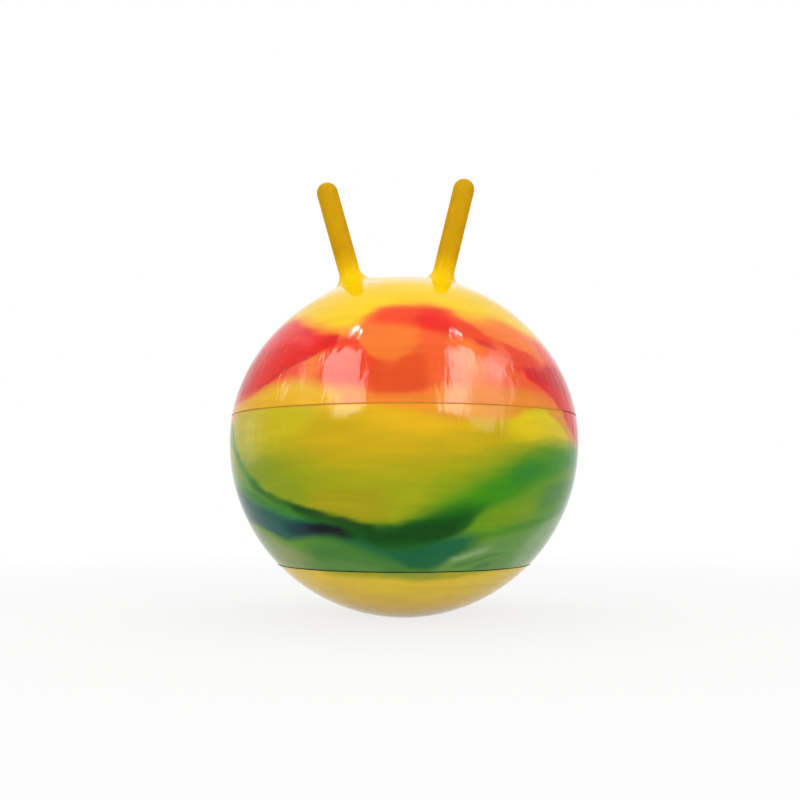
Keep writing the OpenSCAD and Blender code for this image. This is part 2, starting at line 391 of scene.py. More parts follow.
def marbled_vinyl(name, ground, swirls, lines=0.0, roughness=GLOSS, ior=VINYL_IOR):
    """Rotationally moulded PVC with swirls of paste. lines is the strength of fine level lines."""
    material, tree = new_material(name)
    place = add(tree, "TexCoord").outputs["Object"]
    centred = add(tree, "VectorMath", place, (0, 0, -EQUATOR), operation="ADD")

    drift = scaled_noise(tree, centred, DRIFT_SIZE, DRIFT_SIZE, detail=3.0).outputs["Color"]
    drift = add(tree, "VectorMath", drift, (0.5, 0.5, 0.5), operation="SUBTRACT")
    pushed = add(tree, "VectorMath", drift, (2 * DRIFT,) * 3, centred, operation="MULTIPLY_ADD")
    wisps = scaled_noise(tree, pushed, *WISP_SIZE, detail=4.0)

    parts = add(tree, "SeparateXYZ", pushed).outputs
    behind = add(tree, "Math", parts["Y"], -1.0, operation="MULTIPLY")
    angle = add(tree, "Math", parts["X"], behind, operation="ARCTAN2")
    from_back = add(tree, "Math", angle, 1 / math.tau, 0.5, operation="MULTIPLY_ADD")
    from_front = add(tree, "Math", from_back, 0.5, operation="ADD")
    azimuths = (from_back, add(tree, "Math", from_front, operation="FRACT"))
    height = add(tree, "Math", parts["Z"], 1 / (2 * BALL_RADIUS), 0.5, operation="MULTIPLY_ADD")
    combing = add(tree, "Math", wisps, 0.5, operation="SUBTRACT")
    height = add(tree, "Math", combing, WISP / BALL_RADIUS, height, operation="MULTIPLY_ADD")

    colour = linear(ground)
    for one in swirls:
        colour = lay(tree, colour, azimuths, height, one)
    tone = add(tree, "MapRange", wisps, *MOST_NOISE, *SKIN_TONES)
    if lines:
        levels = scaled_noise(tree, centred, *LEVEL_LINE_SIZE, detail=2.0)
        levels = add(tree, "Math", levels, lines, 1 - lines / 2, operation="MULTIPLY_ADD")
        tone = add(tree, "Math", tone, levels, operation="MULTIPLY")
    colour = add(tree, "Mix", 1.0, {UNDER: colour, OVER: tone}, data_type="RGBA", blend_type="MULTIPLY")

    from_middle = add(tree, "Math", parts["Z"], RIPPLE_MIDDLE, operation="SUBTRACT")
    from_middle = add(tree, "Math", from_middle, operation="ABSOLUTE")
    calm = add(tree, "MapRange", from_middle, RIPPLE_NEAR, RIPPLE_FAR, 1.0, RIPPLE_LEFT,
               interpolation_type="SMOOTHSTEP")
    ripples = scaled_noise(tree, centred, *RIPPLE_SIZE, detail=2.0)
    ripples = add(tree, "Math", ripples, calm, operation="MULTIPLY")
    bump = add(tree, "Bump", {"Height": ripples, "Distance": RIPPLE_DEPTH, "Strength": 1.0})
    polish = add(tree, "MapRange", wisps, 0.0, 1.0, *roughness)
    looks = {"Base Color": colour, "Roughness": polish, "Normal": bump, "IOR": ior}
    add(tree, "OutputMaterial", {"Surface": add(tree, "BsdfPrincipled", looks)})
    return material


print("vinyl: wisps", round(WISP_SIZE[0] / MM), "mm long, ripples", round(RIPPLE_SIZE[0] / MM), "mm apart")

# %% [markdown]
# The colours of the paste were matched to the photograph, one patch at a time, between the
# bright reflections. They are named as a painter would name them, from the yellows of the crown
# through the reds to the greens and the near black of the band.

# %% Colours of the paste
YELLOW = "#fbcf02"
# The base's pale yellow is partly the paste's own colour and partly painted light from the floor below.
PALE_YELLOW_WITH_PAINTED_LIGHT = "#ffdc2c"
AMBER = "#f5bc0a"
APRICOT = "#f5902a"
MUSTARD = "#d2b000"
HONEY = "#b0a000"
OLIVE = "#a2aa00"
GRASS = "#86a000"
LEMON = "#ecd000"
LIME = "#d2c804"
ORANGE = "#ff7c2c"
TANGERINE = "#fb7c2a"
CORAL = "#f65826"
RED = "#f43c1a"
BRICK = "#e64c1a"
RUST = "#e65018"
ROSE = "#f8484c"
SCARLET = "#ea0c12"
CRIMSON = "#f0120e"
DEEP_CRIMSON = "#cc000e"
LEAF = "#3a9000"
MOSS = "#669c08"
PEA = "#7a9e08"
DEEP_GREEN = "#005800"
DARK_GREEN = "#004200"
FOREST = "#146804"
TEAL = "#006840"
LAGOON = "#005850"
NAVY = "#003038"
INK = "#000206"
SEA_GREEN = "#248228"
FERN = "#40823a"
SAGE = "#6a9a4c"
HAZE = "#98a464"
MIST = "#9cb884"
CREAM = "#f2cc40"
print("paste colours from", YELLOW, "to", INK)

# %% [markdown]
# The crown is yellow at its top, with an orange ground below. A broad crimson streak comes from the
# left and narrows towards the front, redder patches lie in the middle, and a scarlet tongue reaches
# in from the right. Amber and apricot show just over the parting line. What is laid later lies on top,
# as the paste that ran last does, and the marbling goes on round the unseen back.

# %% Swirls of the crown
CROWN_SWIRLS = (
    swirl(ORANGE, below(
        (-180, 140), (-150, 124), (-118, 134), (-92, 134), (-72, 150), (-59, 150), (-50, 147), (-44, 141),
        (-38, 134), (-33, 129), (-28, 124), (-23, 121), (-18, 127), (-13, 140), (-8, 149), (0, 152),
        (8, 152), (15, 150), (20, 146), (26, 140), (32, 138), (38, 140), (44, 139), (52, 132), (60, 121),
        (72, 108), (90, 118), (112, 142), (138, 122), (160, 134), (180, 140)), (10, 24)),
    swirl(CORAL, (
        (22, 40, 114), (30, 42, 115), (35, 43, 112), (40, 44, 107), (44, 46, 102), (49, 50, 96),
        (54, 56, 91), (60, 62, 88), (68, 60, 94), (80, 60, 84)), (26, 12), 0.85),
    swirl(ROSE, (
        (52, 90, 122), (60, 84, 124), (68, 76, 118), (78, 72, 108), (96, 80, 94)), (16, 20), 0.75),
    swirl(CORAL, (
        (-1, 50, 108), (4, 44, 116), (10, 44, 122), (16, 46, 120), (22, 46, 112)), (20, 16), 0.8),
    swirl(TANGERINE, (
        (-17, 100, 126), (-13, 91, 130), (-10, 86, 131), (-7, 83, 131), (-4, 83, 130), (-1, 87, 129),
        (2, 93, 127), (5, 100, 123), (8, 107, 118)), (7, 16), 0.9, (3, 6)),
    swirl(RED, (
        (-30, 62, 92), (-24, 58, 106), (-18, 56, 112), (-13, 52, 98), (-9, 50, 84), (-5, 50, 80)),
        (18, 8), 0.9, (6, 5)),
    swirl(BRICK, (
        (-12, 44, 84), (-8, 42, 82), (-4, 42, 82), (0, 42, 88), (5, 46, 92), (10, 54, 86)),
        (14, 10), 0.9, (4, 6)),
    swirl(RUST, (
        (-7, 50, 72), (-3, 48, 76), (1, 48, 82), (5, 52, 84), (9, 60, 78)), (16, 16), 0.7, (4, 5)),
    swirl(RED, (
        (-20, 128, 136), (-14, 128, 144), (-8, 128, 149), (0, 126, 151), (8, 123, 151), (13, 119, 150),
        (18, 115, 146), (22, 110, 138), (26, 104, 128), (30, 100, 118), (36, 96, 108)),
        (16, 12), 0.9, (13, 8)),
    swirl(CRIMSON, (
        (1, 126, 138), (6, 122, 142), (10, 119, 144), (14, 117, 143), (18, 114, 135), (22, 110, 126)),
        (12, 12), 0.8, (7, 6)),
    swirl(DEEP_CRIMSON, (
        (22, 111, 118), (25, 106, 113), (28, 102, 109), (31, 99, 105), (35, 97, 101)), (5, 5), 0.5, (4, 5)),
    swirl(CRIMSON, (
        (-124, 70, 84), (-104, 52, 104), (-88, 44, 126), (-72, 42, 144), (-62, 44, 145), (-56, 48, 144),
        (-50, 57, 141), (-45, 68, 135), (-40, 78, 129), (-35, 86, 123), (-30, 93, 119), (-26, 97, 118),
        (-22, 105, 115)), (6, 12), 0.97, (20, 2)),
    swirl(ROSE, (
        (-62, 106, 146), (-55, 110, 142), (-49, 114, 138), (-43, 112, 132), (-38, 106, 122),
        (-33, 102, 116), (-29, 104, 112)), (14, 12), 0.6, (8, 6)),
    swirl(DEEP_CRIMSON, (
        (-84, 60, 110), (-74, 54, 120), (-66, 54, 118), (-60, 58, 96), (-54, 60, 76)),
        (14, 20), 0.5, (8, 8)),
    swirl(RED, (
        (-54, 52, 58), (-46, 60, 70), (-40, 65, 80), (-35, 64, 87), (-30, 66, 92)), (16, 6), 0.85, (6, 6)),
    swirl(DEEP_CRIMSON, (
        (-56, 49, 55), (-50, 57, 63), (-46, 66, 71), (-42, 73, 78), (-38, 80, 85), (-34, 86, 91),
        (-30, 91, 95), (-26, 95, 99)), (3, 5), 0.65, (5, 5)),
    swirl(DEEP_CRIMSON, (
        (-30, 101, 112), (-27, 102, 115), (-24, 104, 115), (-21, 108, 114)), (8, 6), 0.4, (4, 2)),
    swirl(RED, (
        (33, 84, 102), (38, 74, 105), (43, 76, 101), (48, 80, 96), (54, 84, 92)), (8, 8), 0.85, (5, 6)),
    swirl(CRIMSON, (
        (34, 108, 112), (39, 103, 107), (44, 98, 102), (49, 93, 96), (54, 88, 91)), (5, 3), 0.35, (4, 5)),
    swirl(CORAL, (
        (112, 78, 104), (128, 84, 118), (146, 92, 122), (162, 96, 118), (176, 98, 110)),
        (18, 14), 0.8, (16, 16)),
    swirl(CRIMSON, (
        (134, 66, 76), (150, 62, 82), (168, 64, 86), (188, 72, 88), (206, 80, 88)),
        (10, 16), 0.8, (16, 18)),
    swirl(RED, (
        (192, 84, 104), (208, 76, 112), (224, 70, 108), (240, 70, 98)), (14, 12), 0.8, (16, 12)),
    swirl(AMBER, below(
        (106, 28), (126, 44), (150, 52), (180, 48), (216, 40), (250, 46), (276, 36), (293, 42), (302, 48),
        (310, 53), (317, 60), (324, 62), (330, 60), (336, 52), (346, 42)), (10, 20), 0.95, (26, 8)),
    swirl(APRICOT, below(
        (-22, 56), (-12, 46), (-4, 40), (4, 40), (11, 50), (20, 50), (30, 52), (38, 54), (46, 46), (52, 36),
        (58, 26)), (10, 18), 0.85, (8, 6)),
    swirl(SCARLET, (
        (40, 71, 78), (43, 66, 81), (47, 57, 81), (50, 50, 80), (54, 40, 84), (58, 26, 91), (62, 8, 93),
        (70, -20, 88), (84, -30, 78), (102, -20, 66), (122, 6, 56), (144, 26, 46)), (9, 10), 0.97, (2, 46)),
    swirl(DEEP_CRIMSON, (
        (41, 72, 78), (45, 66, 80), (50, 62, 80), (56, 58, 84), (64, 50, 88), (74, 40, 80)),
        (8, 8), 0.6, (3, 10)),
)
crown_vinyl = marbled_vinyl("rotomoulded PVC, yellow with red marbling", YELLOW, CROWN_SWIRLS)
print("crown:", len(CROWN_SWIRLS), "swirls")

# %% [markdown]
# The middle band starts mustard. Amber, apricot and scarlet come down into it from the crown, and from
# below it fills with greens, which deepen from olive to a near black streak over the lower parting
# line. To the right the streak rises and turns to leaf green, with pale sage and mist under it.

# %% Swirls of the middle band
BAND_SWIRLS = (
    swirl(OLIVE, below(
        (-180, -20), (-120, -6), (-80, 0), (-60, -2), (-44, -8), (-30, -20), (-15, -36), (0, -34),
        (15, -26), (30, -14), (45, -2), (60, 2), (90, -10), (140, -20), (180, -20)), (10, 52), 0.95),
    swirl(GRASS, below(
        (-80, 0), (-66, -4), (-56, -14), (-46, -24), (-38, -36), (-30, -50), (-22, -64)),
        (10, 50), 0.7, (14, 14)),
    swirl(GRASS, below(
        (2, -56), (10, -46), (18, -36), (26, -24), (36, -10), (46, -2), (60, 0), (80, -10), (110, -30)),
        (10, 40), 0.8, (10, 20)),
    swirl(HONEY, (
        (-34, -82, -64), (-26, -88, -62), (-16, -96, -60), (-8, -94, -60), (0, -88, -60)),
        (16, 22), 0.7, (8, 9)),
    swirl(LIME, above(
        (-100, -30), (-80, -26), (-62, -22), (-46, -18), (-32, -4), (-20, 10)), (30, 10), 0.6, (10, 14)),
    swirl(AMBER, above(
        (-30, 24), (-18, 18), (-8, 8), (0, 2), (10, 4), (22, 12), (38, 24)), (34, 10), 0.8, (10, 12)),
    swirl(LEMON, (
        (28, 2, 18), (34, -2, 24), (39, -6, 30), (44, -6, 31), (49, -6, 27), (54, -8, 18), (60, -10, 6),
        (66, -12, -4)), (26, 8), 0.9, (7, 6)),
    swirl(APRICOT, above(
        (-180, 24), (-120, 30), (-86, 12), (-72, 16), (-62, 32), (-24, 36), (-8, 30), (0, 26), (8, 19),
        (14, 15), (22, 17), (28, 17), (33, 21), (37, 27), (41, 31), (46, 31), (50, 26), (55, 16), (60, 4),
        (70, -14), (90, 0), (130, 26), (180, 24)), (12, 10), 0.7),
    swirl(SCARLET, above(
        (56, 30), (60, 20), (66, 4), (74, -14), (84, -20), (102, -12), (122, 8), (144, 28)),
        (12, 10), 0.95, (5, 46)),
    swirl(MOSS, below(
        (-180, -74), (-140, -60), (-100, -50), (-76, -44), (-66, -44), (-58, -50), (-52, -60), (-46, -68),
        (-40, -76), (-34, -83), (-28, -88), (-20, -93), (-12, -99), (-4, -99), (8, -92), (20, -80),
        (40, -60), (60, -50), (100, -60), (140, -76), (180, -74)), (10, 16), 0.96),
    swirl(MOSS, below(
        (-4, -98), (2, -90), (8, -78), (14, -65), (20, -53), (26, -42), (32, -31), (38, -22), (44, -15),
        (50, -11), (60, -12), (80, -20), (110, -46), (140, -72)), (10, 34), 0.9, (6, 14)),
    swirl(LEAF, (
        (8, -112, -88), (14, -108, -75), (20, -97, -62), (25, -87, -51), (30, -79, -42), (36, -69, -33),
        (42, -58, -25), (48, -50, -19), (54, -45, -14), (62, -38, -12), (74, -38, -12), (96, -54, -20),
        (120, -74, -44), (144, -84, -70)), (18, 28), 0.95, (7, 16)),
    swirl(SEA_GREEN, (
        (31, -58, -38), (36, -56, -31), (40, -52, -28), (44, -46, -28), (49, -40, -32)),
        (14, 12), 0.6, (5, 6)),
    swirl(SEA_GREEN, (
        (54, -26, -12), (60, -30, -10), (68, -34, -12), (80, -38, -20)), (12, 12), 0.2, (6, 6)),
    swirl(FERN, (
        (42, -92, -64), (50, -88, -56), (60, -82, -48), (72, -78, -44), (90, -80, -48), (120, -90, -62)),
        (20, 18), 0.65, (12, 20)),
    swirl(PEA, (
        (23, -104, -91), (28, -104, -86), (33, -102, -80), (39, -98, -72), (46, -92, -68), (52, -86, -64)),
        (16, 18), 0.8, (6, 10)),
    swirl(SAGE, below(
        (8, -148), (14, -141), (20, -132), (28, -122), (38, -114), (48, -106), (58, -98), (70, -90),
        (90, -92), (130, -104), (180, -114), (220, -118), (262, -114)), (10, 14), 0.85, (5, 20)),
    swirl(MIST, below(
        (44, -126), (52, -112), (60, -98), (68, -84), (80, -76), (100, -96)), (10, 22), 0.6, (12, 14)),
    swirl(SEA_GREEN, (
        (24, -117, -108), (30, -116, -109), (38, -112, -103), (48, -106, -96), (58, -99, -88),
        (70, -90, -80), (90, -86, -78)), (8, 8), 0.5, (5, 12)),
    swirl(SEA_GREEN, (
        (-74, -86, -54), (-66, -92, -56), (-58, -100, -60), (-52, -106, -68), (-46, -112, -75),
        (-38, -116, -84), (-30, -116, -92), (-22, -118, -98)), (10, 12), 0.85, (8, 6)),
    swirl(FOREST, (
        (-38, -114, -86), (-30, -118, -91), (-22, -124, -97), (-14, -134, -102), (-6, -142, -102),
        (2, -142, -98), (10, -136, -90), (17, -128, -84)), (14, 12), 0.9, (8, 7)),
    swirl(DEEP_GREEN, (
        (-26, -110, -97), (-18, -118, -98), (-12, -126, -102), (-6, -130, -102), (0, -129, -98),
        (5, -127, -91), (10, -123, -85), (15, -117, -81), (19, -110, -79), (22, -99, -78), (25, -88, -76),
        (31, -80, -72)), (16, 24), 0.97, (5, 12)),
    swirl(DARK_GREEN, (
        (-16, -118, -106), (-8, -121, -108), (0, -120, -104), (6, -118, -99), (11, -117, -97),
        (16, -112, -94), (20, -106, -90)), (12, 12), 0.75, (6, 5)),
    swirl(TEAL, (
        (-26, -118, -112), (-20, -122, -115), (-14, -130, -120), (-8, -138, -127), (-2, -147, -131),
        (3, -154, -129), (8, -154, -123), (13, -149, -117), (18, -139, -112), (24, -130, -111),
        (31, -121, -112)), (12, 16), 0.95, (6, 11)),
    swirl(LAGOON, (
        (-86, -90, -52), (-76, -98, -58), (-68, -102, -66), (-60, -105, -74), (-54, -111, -79),
        (-48, -117, -84), (-42, -119, -90), (-36, -118, -95), (-30, -116, -99), (-24, -116, -103)),
        (9, 10), 0.95, (6, 5)),
    swirl(NAVY, (
        (-48, -106, -96), (-42, -112, -97), (-36, -115, -98), (-30, -115, -99), (-24, -116, -101),
        (-18, -119, -105)), (10, 10), 0.85, (8, 9)),
    swirl(INK, (
        (-38, -108, -102), (-33, -111, -101), (-28, -113, -101), (-23, -115, -103), (-19, -118, -106),
        (-14, -120, -110)), (9, 9), 0.95, (8, 9)),
    swirl(HAZE, below(
        (-100, -112), (-76, -104), (-66, -107), (-58, -116), (-51, -123), (-45, -128), (-39, -134),
        (-32, -146)), (10, 16), 0.85, (10, 5)),
    swirl(FERN, below(
        (-50, -126), (-43, -123), (-36, -120), (-28, -118), (-20, -122), (-12, -130), (-4, -140),
        (4, -152)), (10, 20), 0.8, (20, 6)),
    swirl(SAGE, (
        (-46, -156, -142), (-36, -156, -144), (-26, -156, -142), (-14, -158, -148), (-4, -160, -154)),
        (6, 10), 0.6, (6, 6)),
    swirl(LEAF, (
        (128, -86, -58), (150, -92, -64), (172, -90, -58), (196, -78, -48), (220, -72, -50),
        (244, -76, -62)), (16, 14), 0.8, (20, 20)),
    swirl(FOREST, (
        (150, -112, -96), (170, -110, -90), (190, -104, -82), (210, -98, -78), (232, -98, -84),
        (252, -104, -92)), (14, 10), 0.8, (20, 16)),
    swirl(TEAL, (
        (184, -126, -112), (204, -122, -104), (226, -120, -104), (250, -124, -110)),
        (12, 12), 0.7, (18, 14)),
    swirl(LEAF, (
        (-78, -2, 28), (-72, -8, 20), (-67, -22, 2), (-63, -36, -16), (-59, -47, -31), (-55, -56, -42),
        (-51, -64, -51), (-47, -70, -58)), (10, 9), 0.75, (8, 4)),
    swirl(FOREST, (
        (-60, -50, -40), (-55, -59, -48), (-50, -68, -56), (-45, -76, -64), (-40, -82, -71),
        (-35, -88, -78), (-30, -93, -84), (-25, -98, -89)), (10, 8), 0.85, (7, 6)),
    swirl(DARK_GREEN, (
        (-42, -82, -72), (-36, -88, -78), (-30, -94, -84), (-24, -99, -89), (-18, -104, -94),
        (-12, -109, -99), (-6, -112, -103)), (10, 8), 0.85, (7, 6)),
    swirl(MIST, (
        (16, -145, -140), (22, -140, -134), (28, -134, -129), (35, -130, -125)), (6, 6), 0.6, (4, 5)),
    swirl(FERN, (
        (18, -152, -147), (26, -146, -141), (34, -141, -136), (43, -135, -131)), (5, 5), 0.6, (4, 6)),
    swirl(LAGOON, (
        (26, -154, -150), (32, -153, -148), (38, -152, -148)), (4, 4), 0.4, (4, 4)),
)
band_vinyl = marbled_vinyl("rotomoulded PVC, mustard with green marbling", MUSTARD, BAND_SWIRLS)
print("band:", len(BAND_SWIRLS), "swirls")

# %% [markdown]
# The base is one plain yellow with faint level lines, where the last paste settled. Its yellow is paler
# and brighter than the crown's, partly the paste's own colour and partly painted light that stands in
# for the light thrown up from the floor. A little olive and sage strays into it just under the parting
# line, and it is a little brighter near the foot.

# %% Swirls of the base
BASE_SWIRLS = (
    swirl(CREAM, above(
        (-180, -205), (-80, -190), (-40, -220), (40, -222), (90, -196), (180, -205)), (40, 10), 0.5),
    swirl(OLIVE, above(
        (-40, -159), (-24, -161), (-8, -164), (6, -167), (18, -165), (34, -160), (46, -158)),
        (8, 10), 0.75),
    swirl(SAGE, above(
        (-12, -160), (-2, -162), (8, -163), (18, -160)), (6, 10), 0.5, (6, 6)),
)
base_vinyl = marbled_vinyl("rotomoulded PVC, plain yellow", PALE_YELLOW_WITH_PAINTED_LIGHT, BASE_SWIRLS, lines=0.16)
print("base:", len(BASE_SWIRLS), "swirls")

# %% [markdown]
# New pieces are modelled with the same operators as by hand. These helpers put one object into edit
# mode alone, and pick its points by their place, with a hair's slack where they should touch a
# height. An operator acts on all that is selected, and the loaded CAD nodes still are, so everything
# is deselected before each start.

# %% Helpers for modelling
HAIR, SLACK = 0.001 * MM, 0.01 * MM
SMOOTH_ANGLE = math.radians(40)


def begin(name, primitive, **shape):
    """Adds a primitive with nothing else selected, puts its place into its mesh and opens edit mode."""
    bpy.ops.object.select_all(action="DESELECT")
    primitive(**shape)
    made = bpy.context.object
    made.name = made.data.name = name
    bpy.ops.object.transform_apply(location=True, rotation=True, scale=True)
    bpy.ops.object.mode_set(mode="EDIT")
    return made


def pick(test):
    """In edit mode, selects the points whose place passes the test."""
    bpy.ops.mesh.select_mode(type="VERT")
    bpy.ops.mesh.select_all(action="DESELECT")
    mesh = bmesh.from_edit_mesh(bpy.context.edit_object.data)
    for point in mesh.verts:
        point.select_set(bool(test(point.co)))
    mesh.select_flush_mode()
    bmesh.update_edit_mesh(bpy.context.edit_object.data)


def turn_on_axis(steps):
    """Spins the profile round the Z axis, closes the join and the poles, and turns the faces outward."""
    bpy.ops.mesh.select_all(action="SELECT")
    bpy.ops.mesh.spin(steps=steps, angle=math.tau, center=(0, 0, 0), axis=(0, 0, 1))
    bpy.ops.mesh.select_all(action="SELECT")
    bpy.ops.mesh.remove_doubles(threshold=HAIR)
    bpy.ops.mesh.normals_make_consistent(inside=False)


def select_only(thing):
    """Selects one object and makes it the active one."""
    bpy.ops.object.select_all(action="DESELECT")
    thing.select_set(True)
    bpy.context.view_layer.objects.active = thing


def apply_modifier(thing, kind, **settings):
    """Adds a modifier and applies it at once."""
    select_only(thing)
    modifier = thing.modifiers.new(kind.lower(), kind)
    for name, value in settings.items():
        setattr(modifier, name, value)
    bpy.ops.object.modifier_apply(modifier=modifier.name)


def finish_piece(thing, material):
    """Shades the piece smooth but for its sharp edges, gives it its material and says its size."""
    select_only(thing)
    bpy.ops.object.shade_smooth_by_angle(angle=SMOOTH_ANGLE)
    thing.data.materials.clear()
    thing.data.materials.append(material)
    size = [round(part / MM, 1) for part in thing.dimensions]
    print(f"{thing.name}: {len(thing.data.polygons)} faces, {size} mm")


print("edges under", round(math.degrees(SMOOTH_ANGLE)), "degrees are shaded smooth")

# %% [markdown]
# The three panels of the ball are turned from one upright section. It starts as a circle, and the
# upper half is pressed down to the crown's rise. Proportional editing then draws its top in a little
# between the horns and fills its shoulders out. A cut and a short flat make the foot. Each panel takes
# its own stretch of the section between two heights, and later gets the real wall thickness, inwards.

# %% The section of the ball
SECTION_STEPS = 288
TURN_STEPS = 192
FOOT_EDGE, FOOT_EDGE_STEPS = 9 * MM, 6


def ball_section(name, lowest, highest):
    """The ball's outline on the right side of the Z axis, between two heights, in edit mode."""
    made = begin(name, bpy.ops.mesh.primitive_circle_add, vertices=SECTION_STEPS, radius=BALL_RADIUS,
                 location=(0, 0, EQUATOR), rotation=(math.pi / 2, 0, 0))
    pick(lambda at: at.z > EQUATOR + HAIR)
    bpy.ops.transform.resize(value=(1, 1, CROWN_RISE / BALL_RADIUS), center_override=(0, 0, EQUATOR))
    pick(lambda at: at.z > EQUATOR + CROWN_RISE - SLACK)
    bpy.ops.transform.translate(value=(0, 0, -SADDLE_DROP), use_proportional_edit=True,
                                proportional_edit_falloff="SMOOTH", proportional_size=SADDLE_RADIUS)
    pick(lambda at: at.z > EQUATOR and abs(abs(at.x) - SHOULDER_RADIUS) < SHOULDER_HALF)
    bpy.ops.transform.translate(value=(0, 0, SHOULDER_LIFT), use_proportional_edit=True,
                                proportional_edit_falloff="SMOOTH", proportional_size=SHOULDER_REACH)
    pick(lambda at: at.x < -HAIR)
    bpy.ops.mesh.delete(type="VERT")
    bpy.ops.mesh.select_all(action="SELECT")
    bpy.ops.mesh.bisect(plane_co=(0, 0, 0), plane_no=(0, 0, 1), clear_inner=True)
    pick(lambda at: at.z < HAIR)
    bpy.ops.mesh.extrude_region_move()
    bpy.ops.transform.resize(value=(0, 1, 1), center_override=(0, 0, 0))
    pick(lambda at: at.z < HAIR and at.x > FOOT_RADIUS / 2)
    bpy.ops.mesh.bevel(offset=FOOT_EDGE, segments=FOOT_EDGE_STEPS, affect="VERTICES")
    pick(lambda at: at.z < 0)
    bpy.ops.transform.resize(value=(1, 1, 0), center_override=(0, 0, 0))
    for height, keeps_above in ((lowest, True), (highest, False)):
        bpy.ops.mesh.select_all(action="SELECT")
        bpy.ops.mesh.bisect(plane_co=(0, 0, height), plane_no=(0, 0, 1), clear_inner=keeps_above,
                            clear_outer=not keeps_above)
    return made


print(f"section: a circle of {SECTION_STEPS} steps, to be turned in {TURN_STEPS} steps")

# %% The three panels
def ball_panel(name, lowest, highest):
    """One panel of the skin, turned from the section. It gets its wall later."""
    made = ball_section(name, lowest, highest)
    turn_on_axis(TURN_STEPS)
    bpy.ops.object.mode_set(mode="OBJECT")
    return made


crown = ball_panel("crown_skin", UPPER_SEAM, EQUATOR + BALL_RADIUS)
band = ball_panel("band_skin", LOWER_SEAM, UPPER_SEAM)
base = ball_panel("base_skin", -BALL_RADIUS, LOWER_SEAM)
print("panels:", [(panel.name, len(panel.data.polygons)) for panel in (crown, band, base)])

# %% [markdown]
# The mould draws the skin up to the horns: a low ridge runs from one horn to the other, a little
# higher at the left one, and falls away softly all round. It makes the top of the ball look flat
# between the horns, and lets them grow out of the crown without a crease. Proportional editing does
# the same: the skin between the two roots is lifted, and the skin round it follows smoothly.

# %% The ridge between the horns
RIDGE_LIFT, RIDGE_REACH = 6.5 * MM, 66 * MM
LEFT_LIFT, LEFT_REACH = 3.0 * MM, 42 * MM
RIDGE_HALF = 9 * MM
GRIPS = {mount["name"]: mount for mount in frame["record"]["mounts"]}


def horn_line(side):
    """Where a horn's axis meets the crown, its direction, its tip's centre and its radius."""
    grip = GRIPS[side + "_grip"]
    axis = Vector(grip["axis"]).normalized()
    tip_centre = Vector(grip["pos_m"]) + axis * grip["dims"]["length_mm"] * MM / 2
    _, root, _, _ = crown.ray_cast(tip_centre, -axis)
    return root, axis, tip_centre, grip["dims"]["r_mm"] * MM


def lift_crown(left_end, right_end, lift, reach):
    """Lifts the crown along a line from left to right through its middle. The skin within reach follows."""
    select_only(crown)
    bpy.ops.object.mode_set(mode="EDIT")
    pick(lambda at: left_end - RIDGE_HALF < at.x < right_end + RIDGE_HALF and abs(at.y) < RIDGE_HALF)
    bpy.ops.transform.translate(value=(0, 0, lift), use_proportional_edit=True,
                                proportional_edit_falloff="SMOOTH", proportional_size=reach)
    bpy.ops.object.mode_set(mode="OBJECT")


left_foot, right_foot = horn_line("left")[0], horn_line("right")[0]
lift_crown(left_foot.x, right_foot.x, RIDGE_LIFT, RIDGE_REACH)
lift_crown(left_foot.x, left_foot.x, LEFT_LIFT, LEFT_REACH)
for side, foot in (("left", left_foot), ("right", right_foot)):
    print(f"{side} root lifted from {foot.z / MM:.1f} to {horn_line(side)[0].z / MM:.1f} mm")

# %% [markdown]
# A horn is a thick-walled tube with a round tip, and its root flares into the crown in one soft
# curve, because it is the same moulding. It is modelled upright on the Z axis: a quarter circle for
# the tip, an extruded side, a spun arc for the fillet and a short brim. Then it is turned to its
# lean, and every point of the flare is lifted or dropped along the horn by the crown's own height
# there, found with a ray, so that the brim lies on the crown all the way round.

# %% The horns
FILLET = 17 * MM
BRIM = 4 * MM
BRIM_LIFT = 0.03 * MM
RING_GAP = 4 * MM
TIP_STEPS, FILLET_STEPS, BRIM_STEPS, HORN_STEPS = 64, 18, 2, 96
RAY_START = 80 * MM
UPRIGHT = "upright_place"


def lowest_point():
    """The lowest height in the mesh being edited."""
    mesh = bmesh.from_edit_mesh(bpy.context.edit_object.data)
    return min(corner.co.z for corner in mesh.verts)


def upright_horn(name, radius, length):
    """A horn on the Z axis with its root at the origin. Length runs from the root to the tip's centre."""
    made = begin(name, bpy.ops.mesh.primitive_circle_add, vertices=TIP_STEPS, radius=radius,
                 location=(0, 0, length), rotation=(math.pi / 2, 0, 0))
    pick(lambda at: at.x < -HAIR or at.z < length - HAIR)
    bpy.ops.mesh.delete(type="VERT")
    side = length - FILLET
    rings = round(side / RING_GAP)
    for _ in range(rings):
        pick(lambda at, low=lowest_point(): at.z < low + HAIR)
        bpy.ops.mesh.extrude_region_move(TRANSFORM_OT_translate={"value": (0, 0, -side / rings)})
    pick(lambda at, low=lowest_point(): at.z < low + HAIR)
    bpy.ops.mesh.spin(steps=FILLET_STEPS, angle=math.pi / 2, center=(radius + FILLET, 0, FILLET),
                      axis=(0, 1, 0))
    for _ in range(BRIM_STEPS):
        pick(lambda at, low=lowest_point(): at.z < low + SLACK and at.x > radius + FILLET - SLACK)
        bpy.ops.mesh.extrude_region_move(TRANSFORM_OT_translate={"value": (BRIM / BRIM_STEPS, 0, 0)})
    turn_on_axis(HORN_STEPS)
    bpy.ops.object.mode_set(mode="OBJECT")
    upright = made.data.attributes.new(UPRIGHT, "FLOAT_VECTOR", "POINT")
    for corner, kept in zip(made.data.vertices, upright.data):
        kept.vector = corner.co
    return made


